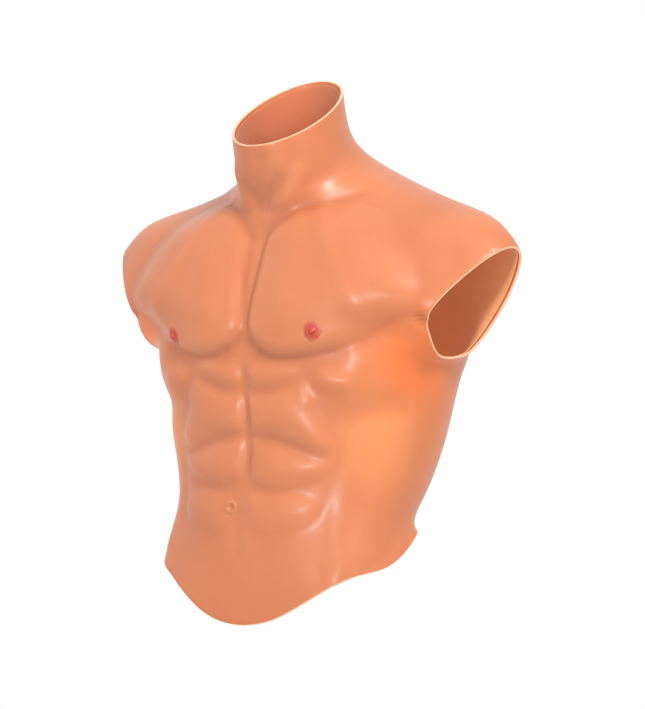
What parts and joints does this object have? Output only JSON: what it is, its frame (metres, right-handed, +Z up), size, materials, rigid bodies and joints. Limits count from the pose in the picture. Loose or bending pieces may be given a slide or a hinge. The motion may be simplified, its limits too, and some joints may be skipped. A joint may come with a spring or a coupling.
{
  "type": "wearable muscle torso",
  "caption": "Hollow moulded silicone muscle torso with open neck, capped armholes and a wavy hem, foam muscle pads behind the skin and a knitted liner.",
  "frame": {"origin": "on the midplane, between the shoulders, at the height of the shoulder line where the wearer or form carries it", "axes": "front faces -Y, the wearer's left is +X, +Z is up"},
  "size_m": [0.4718, 0.2162, 0.5273],
  "materials": {
    "silicone_skin": "satin",
    "nipple_silicone": "satin",
    "knit_liner": "matte",
    "pad_foam": "matte"
  },
  "bodies": {
    "root": {"outer_skin": "silicone_skin", "liner_front": "knit_liner", "liner_back": "knit_liner", "nipple_left": "nipple_silicone", "nipple_right": "nipple_silicone", "pectoral_pad_left": "pad_foam", "pectoral_pad_right": "pad_foam", "upper_abdominal_pad_left": "pad_foam", "upper_abdominal_pad_right": "pad_foam", "middle_abdominal_pad_left": "pad_foam", "middle_abdominal_pad_right": "pad_foam", "lower_abdominal_pad_left": "pad_foam", "lower_abdominal_pad_right": "pad_foam", "belly_pad_left": "pad_foam", "belly_pad_right": "pad_foam", "serratus_pad_left": "pad_foam", "serratus_pad_right": "pad_foam", "oblique_pad_left": "pad_foam", "oblique_pad_right": "pad_foam", "deltoid_pad_left": "pad_foam", "deltoid_pad_right": "pad_foam", "trapezius_pad_left": "pad_foam", "trapezius_pad_right": "pad_foam", "shoulder_blade_pad_left": "pad_foam", "shoulder_blade_pad_right": "pad_foam", "lat_pad_left": "pad_foam", "lat_pad_right": "pad_foam", "lower_back_pad_left": "pad_foam", "lower_back_pad_right": "pad_foam"}
  },
  "joints": []
}
